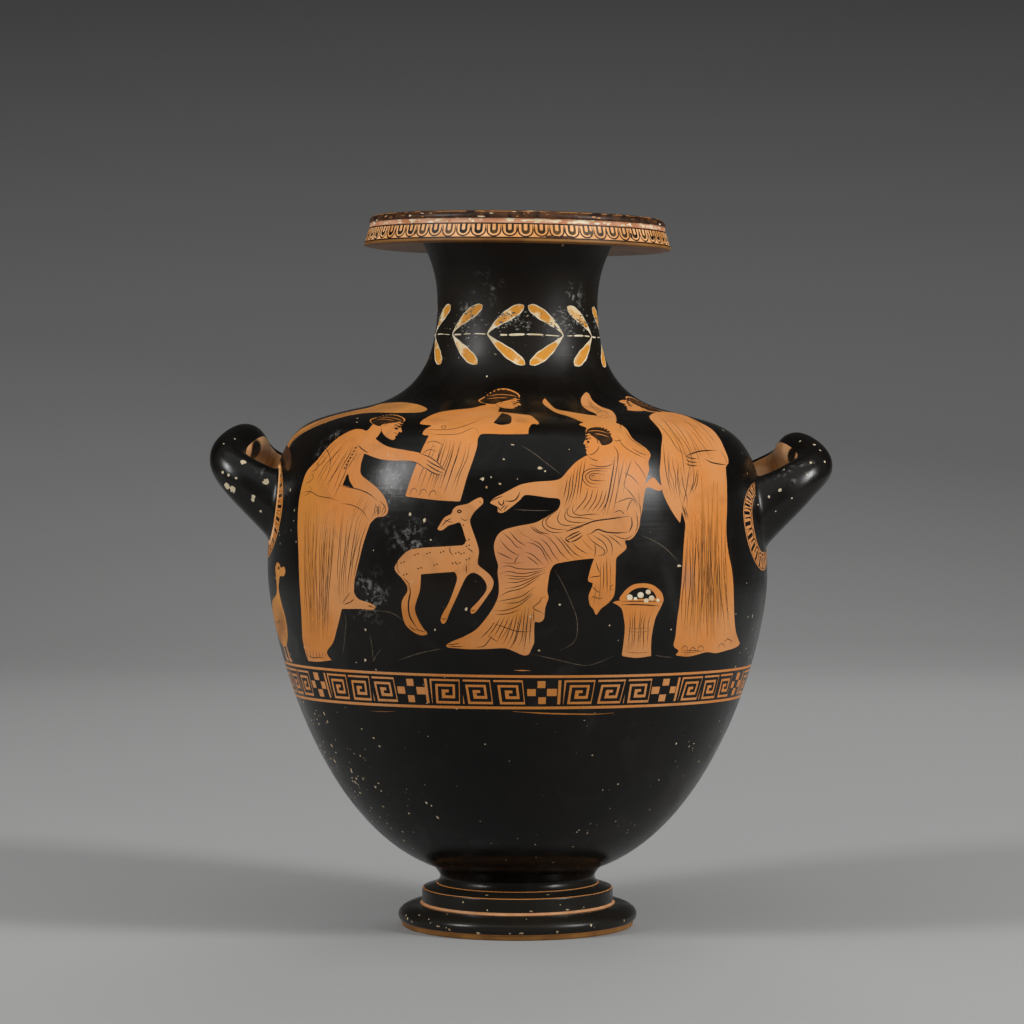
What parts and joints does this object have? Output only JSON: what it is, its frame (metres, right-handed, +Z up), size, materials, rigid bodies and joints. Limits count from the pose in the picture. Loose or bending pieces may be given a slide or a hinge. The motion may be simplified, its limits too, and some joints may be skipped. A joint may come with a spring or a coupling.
{
  "type": "hydria",
  "caption": "Red-figure water jar with a round body, tall neck, wide flat lip, ringed foot, two upturned side handles and one upright back handle.",
  "frame": {"origin": "centre of the foot's underside, on the surface the jar stands on", "axes": "+Z up along the jar's axis, -Y towards the painted front, +X towards the handle on the right of that front"},
  "size_m": [0.3861, 0.3106, 0.4413],
  "materials": {
    "slipped_clay": "glossy near-black slip over orange fired clay, with reserved orange figures and bands"
  },
  "bodies": {
    "root": {"hydria": "slipped_clay"}
  },
  "joints": []
}
